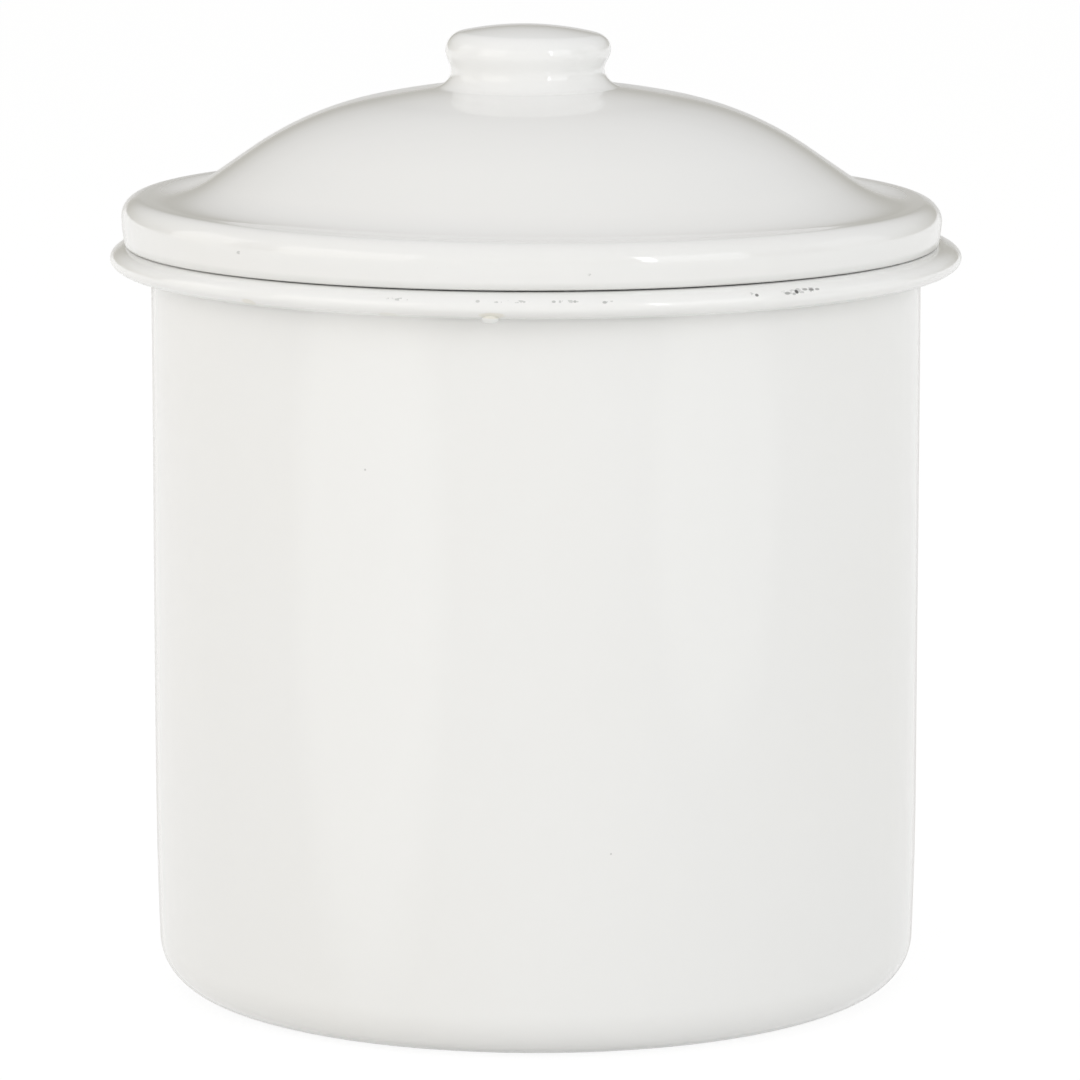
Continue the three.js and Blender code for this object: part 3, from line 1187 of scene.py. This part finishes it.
ALL_ROUND = 400.0  # half angle of a patch that goes all round a piece
BEAD_WEAR = 173.9 * MM  # height on the bead that the lid's edge rubs when it is put on
JAR_ENAMEL = Enamel(
    wear=(
        Patch(-3.4, 3.4, BEAD_WEAR, 0.35 * MM, 0.85),
        Patch(4.2, 1.6, BEAD_WEAR, 0.35 * MM, 0.8),
        Patch(9.6, 1.3, BEAD_WEAR - 0.2 * MM, 0.3 * MM, 0.7),
        Patch(28.4, 0.9, BEAD_WEAR + 0.2 * MM, 0.4 * MM, 0.8),
        Patch(36.6, 3.6, BEAD_WEAR, 0.6 * MM, 0.9),
        Patch(-18.0, 2.0, BEAD_WEAR, 0.35 * MM, 0.6),
        Patch(-96.0, 9.0, BEAD_WEAR, 0.45 * MM, 0.85),
        Patch(120.0, 7.0, BEAD_WEAR, 0.45 * MM, 0.9),
        Patch(155.0, 5.0, BEAD_WEAR, 0.4 * MM, 0.8),
    ),
    chips=(
        Patch(-7.4, 0.34, BEAD_WEAR, 0.33 * MM, 0.3),
        Patch(2.3, 0.32, BEAD_WEAR, 0.3 * MM, 0.4),
        Patch(3.1, 0.2, BEAD_WEAR, 0.34 * MM, 0.3),
        Patch(5.0, 0.26, BEAD_WEAR, 0.3 * MM, 0.45),
        Patch(8.8, 0.36, BEAD_WEAR - 0.25 * MM, 0.33 * MM, 0.45),
        Patch(29.6, 0.32, BEAD_WEAR - 0.15 * MM, 0.36 * MM, 0.8),
        Patch(34.3, 0.55, BEAD_WEAR - 0.25 * MM, 0.36 * MM, 0.6),
        Patch(35.3, 0.35, BEAD_WEAR - 0.5 * MM, 0.33 * MM, 0.45),
        Patch(35.8, 0.36, BEAD_WEAR - 0.1 * MM, 0.5 * MM, 0.95),
        Patch(37.3, 0.5, BEAD_WEAR + 0.2 * MM, 0.28 * MM, 0.6),
        Patch(38.3, 0.5, BEAD_WEAR + 0.05 * MM, 0.34 * MM, 0.75),
        Patch(39.3, 0.45, BEAD_WEAR, 0.28 * MM, 0.55),
        Patch(121.0, 0.4, BEAD_WEAR, 0.36 * MM, 0.8),
        Patch(-93.0, 0.35, BEAD_WEAR, 0.33 * MM, 0.7),
        Patch(-25.0, 0.2, 134 * MM, 0.3 * MM, 0.3),
        Patch(10.8, 0.18, 48 * MM, 0.28 * MM, 0.3),
    ),
    stains=(
        Patch(-5.6, 2.0, 170.7 * MM, 0.9 * MM, 0.55),
        Patch(-19.5, 1.6, 170.1 * MM, 0.8 * MM, 0.3),
        Patch(-40.5, 1.4, 170.8 * MM, 0.9 * MM, 0.45),
    ),
    runs_and_lit_bands=(
        # painted light: a lighter band on the left of the body, where the key lamp falls
        Patch(-25.0, 14.0, 110 * MM, 115 * MM, 0.9),
        Patch(27.0, 12.0, 130 * MM, 70 * MM, 0.7),
        Patch(150.0, 16.0, 80 * MM, 110 * MM, 0.9),
        # painted light: a lighter ring on the bead's top, where the lid's edge shades it
        Patch(0.0, ALL_ROUND, 174.4 * MM, 3.2 * MM, 1.0),
    ),
    # painted shade: the ring at 169.3 mm darkens the crease under the bead; the ring at 1.2 mm darkens the
    # bottom edge of the base
    thin_and_shaded_rings=(169.3 * MM, 1.2 * MM),
)
LID_ENAMEL = Enamel(
    shift=11.0,
    wear=(
        Patch(-43.2, 0.9, 181.4 * MM, 0.6 * MM, 0.6),
        Patch(-12.5, 0.8, 180.8 * MM, 0.6 * MM, 0.5),
        Patch(7.0, 0.8, 179.3 * MM, 0.6 * MM, 0.45),
    ),
    runs_and_lit_bands=(
        # painted light: a lighter crown round the foot of the knob
        Patch(0.0, ALL_ROUND, 213 * MM, 4.2 * MM, 1.0),
    ),
    # painted shade along the dark line where the lid's edge meets the bead
    thin_and_shaded_rings=(176.2 * MM,),
)
# the knob's glaze and warm tint are lighter than on the other pieces: painted light on the knob
KNOB_ENAMEL = Enamel(shift=23.0, glaze=(0.905, 0.904, 0.9), warm=(0.9, 0.897, 0.887))
COLLAR_ENAMEL = Enamel(shift=31.0, gloss=0.1)


def main() -> None:
    """Builds the studio and the jar, piece by piece."""
    logging.basicConfig(level=logging.INFO, format="%(name)s: %(message)s")
    Viewpoint().place()
    Studio().build()
    jar = JarShell("enamel_jar", "jar_body", Body.JAR, Slot.JAR, JAR_ENAMEL)
    lid = LidShell("enamel_lid", "lid", Body.LID, Slot.LID, LID_ENAMEL)
    collar = LocatingCollar(
        "enamel_collar", "lid_collar", Body.LID, Slot.LID, COLLAR_ENAMEL, steps=160, jar=jar
    )
    knob = Knob("enamel_knob", "knob", Body.LID, Slot.KNOB, KNOB_ENAMEL, steps=128, lid=lid)
    drip = EnamelDrip(jar, JAR_ENAMEL)
    for part in (jar, drip, lid, collar, knob):
        piece = part.build()
        LOG.info("%s: %d faces", piece.name, len(piece.data.polygons))


if __name__ == "__main__":
    main()
